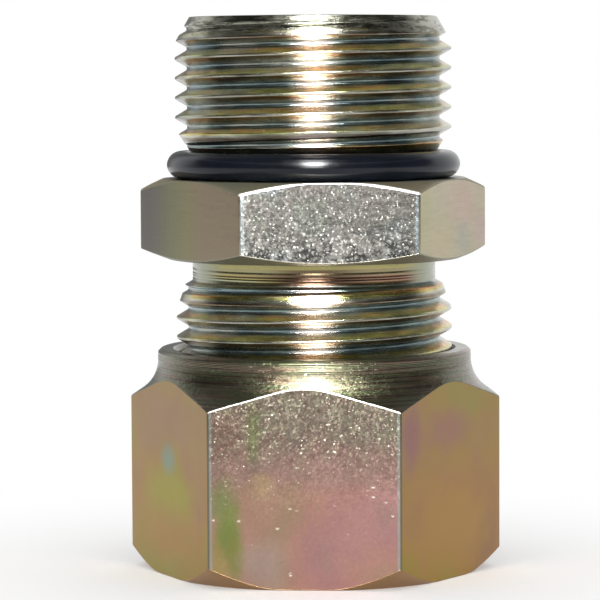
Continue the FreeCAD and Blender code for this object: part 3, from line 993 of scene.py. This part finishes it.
def make_nut_zinc():
    paint = Paint("zinc_nut_finish")
    standing = upright(paint)
    flat = paint.times(standing, paint.step(paint.r, 17.2, 17.3))
    back = facing(paint, NUT_TURN_DEG + 90)
    front = paint.plus(facing(paint, NUT_TURN_DEG - 90), paint.times(back, 0.6))
    front = paint.times(front, flat)
    colour = paint.mix(front, nut_side_colour(paint), nut_face_colour(paint))

    leaning = paint.fade(standing, 0.0, 1.0)
    chamfer = paint.times(paint.fade(paint.z, *NUT_CHAMFER_ZONE), leaning)
    colour = paint.mix(chamfer, colour, (0.36, 0.215, 0.105))
    off_flat = paint.fade(flat, 0.0, 1.0)
    shoulder = paint.times(paint.step(paint.z, *NUT_SHOULDER_ZONE), off_flat)
    colour = paint.mix(shoulder, colour, nut_shoulder_colour(paint))

    distance = corner_distance(paint, NUT_TURN_DEG)
    # Painted highlight: a pale band down each side of the front flat, along the corners.
    corner_highlight = paint.times(paint.step(distance, 0.3, 0.42, 0.7, 0.0), front)
    colour = paint.mix(corner_highlight, colour, (0.26, 0.28, 0.26))
    # Painted shade: a dark line along the corners of the flats.
    corner = paint.times(paint.step(distance, 0.06, 0.16, 0.8, 0.0), flat)
    colour = paint.mix(corner, colour, (0.16, 0.17, 0.13))

    height = paint.step(paint.z, *NUT_DULL_ZONE)
    amount = paint.times(front, paint.plus(paint.times(height, 0.13), 0.03))
    amount = paint.plus(amount, paint.times(shoulder, 0.13))
    normal, cells = tilted_grain(paint, GRAIN, amount, 7.0)
    # Painted glints on the front flat, and on the shoulder only where it faces front or back.
    aside = paint.step(paint.absolute(paint.x), 2.0, 10.0, 0.9, 0.0)
    where = paint.math("MAXIMUM", front, paint.times(shoulder, aside))
    glint_fleck = paint.times(nut_glint_flecks(paint, cells), where)
    colour = paint.mix(glint_fleck, colour, (0.85, 0.80, 0.66))
    mottle = paint.ramp(paint.noise(paint.stretched(1, 1, 0.8), 1.3, 4, 0.7), [
        (0.34, (0.68, 0.64, 0.62)), (0.45, (0.98, 0.89, 0.86)), (0.52, (1.0, 1.0, 0.97)),
        (0.6, (1.0, 1.08, 0.9)), (0.68, (1.25, 1.2, 1.15)),
    ])
    mottled = paint.mix(1.0, colour, mottle, "MULTIPLY")
    colour = paint.mix(paint.times(height, front), colour, mottled)
    # Painted highlight along the top edge of the front flat.
    edge_highlight = top_edge_highlight(paint, NUT_TURN_DEG, NUT_FLAT_R, 0.11)
    paint.set("Base Color", paint.mix(edge_highlight, colour, (0.85, 0.82, 0.74)))
    paint.set("Metallic", 1)
    paint.set("Coat Weight", paint.times(shoulder, 0.5))
    paint.set("Coat Roughness", 0.2)
    rough = paint.step(paint.noise(paint.at, 0.3, 2), 0.3, 0.7, 0.29, 0.33)
    rough = paint.math("MAXIMUM", rough, paint.times(edge_highlight, 0.5))
    paint.set("Roughness", rough)
    lines = paint.times(turned_lines(paint), paint.step(flat, 0.0, 1.0, 1.0, 0.03))
    normal = paint.bump(lines, 0.06, 0.7, normal)
    speckle = paint.noise(paint.at, 2.2, 5, 0.7)
    paint.set("Normal", paint.bump(speckle, 0.006, 0.6, normal))
    return paint.material


def make_ring_steel():
    paint = Paint("ring_finish")
    colour = paint.ramp(paint.noise(paint.stretched(0.2, 0.2, 1.2), 1, 3), [
        (0.35, (0.52, 0.50, 0.42)), (0.6, (0.60, 0.58, 0.52)),
    ])
    paint.set("Base Color", colour)
    paint.set("Metallic", 1)
    paint.set("Roughness", paint.step(paint.noise(paint.at, 0.8, 3), 0.3, 0.7, 0.2, 0.34))
    paint.set("Normal", paint.bump(turned_lines(paint), 0.04, 0.5))
    return paint.material


def make_rubber():
    paint = Paint("rubber_finish")
    colour = paint.ramp(paint.noise(paint.at, 0.3, 4), [
        (0.3, (0.006, 0.008, 0.014)), (0.7, (0.009, 0.012, 0.020)),
    ])
    paint.set("Base Color", colour)
    paint.set("Roughness", paint.step(paint.noise(paint.at, 1.4, 4), 0.3, 0.7, 0.17, 0.22))
    paint.set("Specular IOR Level", 0.3)
    grain = paint.noise(paint.at, 6, 3)
    paint.set("Normal", paint.bump(grain, 0.004, 0.4))
    return paint.material


for piece, node, rides, slot, material in (
    (body, "body", "fitting_body", "zinc_body", make_body_zinc()),
    (nut, "nut", "union_nut", "zinc_nut", make_nut_zinc()),
    (cutting_ring, "cutting_ring", "loose_ring", "ring_steel", make_ring_steel()),
    (o_ring, "o_ring", "fitting_body", "rubber", make_rubber()),
):
    piece.data.materials.append(material)
    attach(piece, rides)
    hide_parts(node)


# Lamps and camera, in metres and degrees
AIM = (0, 0, 0.03)
LAMP_DISTANCE = 0.4
CAMERA_PLACE = (-0.00154, -0.349, 0.0544)
CAMERA_AIM = (-0.00154, 0, 0.02908)
CAMERA_ROLL_DEG = -0.29
VIEW_DEG = 10.66268
SENSOR_WIDTH = 36


def make_floor():
    """Plain pale floor that goes down with the nut, which stands on it. The object's shadow
    shows on it near the foot, and further out it is seen as white."""
    reach = 3.0
    mesh = bpy.data.meshes.new("floor")
    corners = [(-reach, -reach, 0), (reach, -reach, 0), (reach, reach, 0), (-reach, reach, 0)]
    mesh.from_pydata(corners, [], [(0, 1, 2, 3)])
    floor = link("floor", mesh)
    paint = Paint("floor_pale")
    paint.set("Base Color", (0.95, 0.95, 0.95, 1))
    paint.set("Roughness", 0.8)
    paint.set("Specular IOR Level", 0.1)
    path = paint.node("ShaderNodeLightPath", {})
    seen = paint.math("MAXIMUM", path.outputs["Is Camera Ray"], path.outputs["Is Glossy Ray"])
    seen = paint.math("MAXIMUM", seen, path.outputs["Is Transmission Ray"])
    white = paint.node("ShaderNodeEmission", {})
    share = paint.times(seen, paint.step(paint.r, 19, 70, 0.3, 1.0))
    blend = paint.node("ShaderNodeMixShader", {
        0: share, 1: paint.shader.outputs[0], 2: white.outputs[0],
    })
    paint.show(blend)
    mesh.materials.append(paint.material)
    stand_on = floor.constraints.new("COPY_LOCATION")
    stand_on.target = nut.parent
    stand_on.use_x = False
    stand_on.use_y = False


def make_world():
    world = bpy.data.worlds.new("studio")
    bpy.context.scene.world = world
    world.use_nodes = True
    background = world.node_tree.nodes["Background"]
    background.inputs["Color"].default_value = (1, 1, 1, 1)
    background.inputs["Strength"].default_value = 1.0


def room_glow(paint):
    """How bright the room is in each direction, by degrees from its front and upwards."""
    away = paint.absolute(paint.math("ARCTAN2", paint.x, paint.times(paint.y, -1)))
    away = paint.times(away, 180 / math.pi)
    rise = paint.math("ARCTAN2", paint.minus(paint.z, AIM[2] / MM), paint.r)
    rise = paint.times(rise, 180 / math.pi)
    left = paint.fade(paint.x, -20, 20)
    wall = paint.step(paint.minus(away, paint.times(left, 8.0)), 85, 118, 0.09, 1.0)
    shaded = paint.times(left, paint.step(away, 138, 160, 0.0, 0.75))
    wall = paint.times(wall, paint.minus(1.0, shaded))
    dark_from = paint.step(away, 95, 130, 4, 34)
    high = paint.step(paint.minus(rise, dark_from), 0, 9)
    ceiling = paint.times(paint.step(away, 90, 150), paint.step(rise, 58, 72, 0.32, 0.0))
    ceiling = paint.plus(ceiling, 0.03)
    strip = paint.fade(paint.absolute(paint.minus(rise, 37)), 1.0, 3.0)
    ceiling = paint.plus(ceiling, paint.times(strip, paint.step(away, 15, 110, 1.1, 0.3)))
    return paint.plus(paint.times(wall, paint.minus(1.0, high)), paint.times(ceiling, high))


def make_room():
    """Dome round the fitting, dark in front and light behind, seen only in reflections."""
    radius, height, foot = 0.5, 0.9, 0.001
    around = np.radians(np.arange(0, 360, 6))
    columns = len(around)
    points = []
    for rise in np.radians(np.arange(0, 90, 4)):
        for a in around:
            out = radius * math.cos(rise)
            points.append((out * math.cos(a), out * math.sin(a), foot + height * math.sin(rise)))
    last = len(points)
    points.append((0, 0, foot + height))
    faces = []
    for low in range(0, last - columns, columns):
        for c in range(columns):
            after = (c + 1) % columns
            faces.append((low + c, low + after, low + columns + after, low + columns + c))
    for c in range(columns):
        faces.append((last - columns + c, last - columns + (c + 1) % columns, last))
    mesh = bpy.data.meshes.new("room")
    mesh.from_pydata(points, [], faces)
    room = link("room", mesh)
    room.visible_camera = False
    room.visible_diffuse = False
    room.visible_shadow = False
    room.visible_transmission = False
    paint = Paint("room_walls")
    paint.show(paint.node("ShaderNodeEmission", {"Strength": room_glow(paint)}))
    mesh.materials.append(paint.material)


def looking(place, aim):
    """Rotation of a lamp or camera at a place that looks at another."""
    return (Vector(aim) - Vector(place)).to_track_quat("-Z", "Y")


def make_lamp(rise, power):
    """Lamp in front of the fitting, some degrees above it, seen only in reflections."""
    data = bpy.data.lights.new(f"key_{rise}", "AREA")
    data.shape = "RECTANGLE"
    data.size = 0.09
    data.size_y = 0.15
    data.energy = power
    lamp = link(f"key_{rise}", data)
    along = LAMP_DISTANCE * math.cos(math.radians(rise))
    lamp.location = (0, -along, AIM[2] + LAMP_DISTANCE * math.sin(math.radians(rise)))
    lamp.rotation_euler = looking(lamp.location, AIM).to_euler()
    lamp.visible_camera = False
    lamp.visible_diffuse = False


def make_camera():
    """Camera, fitted to the photo's outline."""
    data = bpy.data.cameras.new("camera")
    data.sensor_width = SENSOR_WIDTH
    data.lens = SENSOR_WIDTH / 2 / math.tan(math.radians(VIEW_DEG / 2))
    camera = link("camera", data)
    look = looking(CAMERA_PLACE, CAMERA_AIM).to_matrix().to_4x4()
    roll = Matrix.Rotation(math.radians(CAMERA_ROLL_DEG), 4, "Z")
    camera.matrix_world = Matrix.Translation(CAMERA_PLACE) @ look @ roll
    bpy.context.scene.camera = camera
    bpy.context.scene.view_settings.view_transform = "Standard"


make_floor()
make_world()
make_room()
for rise_deg, watts in ((14, 0.8), (37, 3.4), (60, 0.7)):
    make_lamp(rise_deg, watts)
make_camera()
